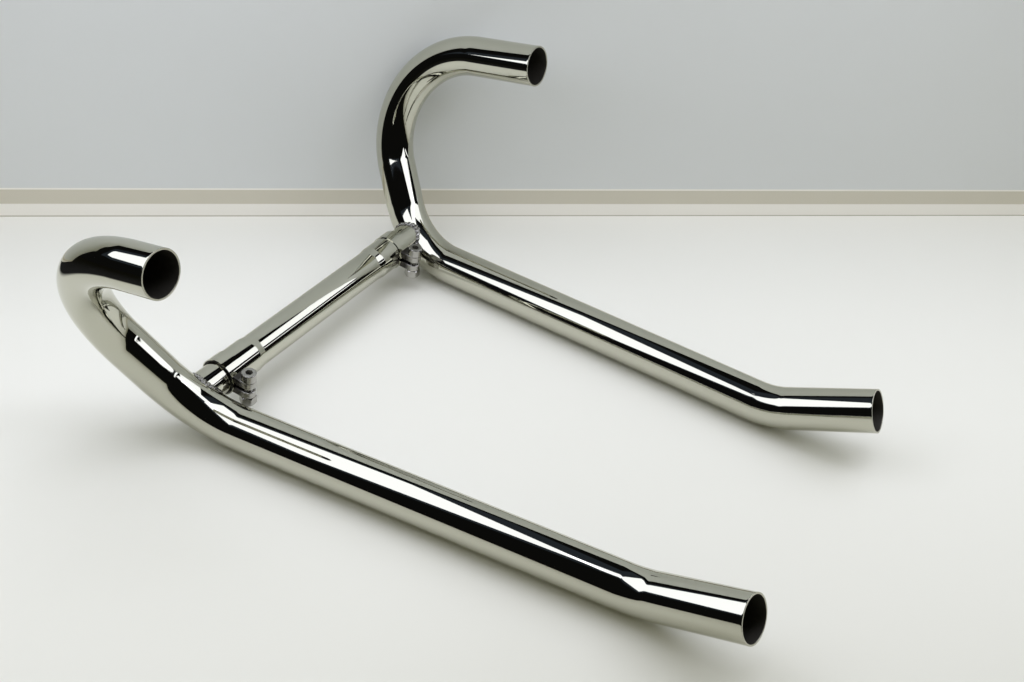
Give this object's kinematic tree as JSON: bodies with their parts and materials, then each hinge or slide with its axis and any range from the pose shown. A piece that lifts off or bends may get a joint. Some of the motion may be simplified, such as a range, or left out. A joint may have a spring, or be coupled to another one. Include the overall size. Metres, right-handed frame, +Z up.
{
  "type": "exhaust header",
  "caption": "Pair of bent chromed exhaust header pipes with hooked inlet ends, joined by a clamped crossover tube.",
  "frame": {"origin": "middle of the footprint, on the surface the pair lies on", "axes": "+X to the right-hand header, +Y forward to the front bends, +Z up"},
  "size_m": [0.5026, 0.57, 0.2376],
  "materials": {
    "header_chrome": "polished",
    "crossover_chrome": "polished",
    "stub_chrome": "polished",
    "weld_bead": "rippled, as welded",
    "clamp_chrome": "polished",
    "fastener_steel": "bright plated"
  },
  "bodies": {
    "root": {"crossover_tube": "crossover_chrome", "left_header_pipe": "header_chrome", "left_crossover_stub": "stub_chrome", "left_stub_weld": "weld_bead", "left_clamp_band": "clamp_chrome", "left_upper_clamp_lug": "clamp_chrome", "left_lower_clamp_lug": "clamp_chrome", "left_clamp_screw": "fastener_steel", "left_clamp_nut": "fastener_steel", "right_header_pipe": "header_chrome", "right_crossover_stub": "stub_chrome", "right_stub_weld": "weld_bead", "right_clamp_band": "clamp_chrome", "right_upper_clamp_lug": "clamp_chrome", "right_lower_clamp_lug": "clamp_chrome", "right_clamp_screw": "fastener_steel", "right_clamp_nut": "fastener_steel"}
  },
  "joints": []
}
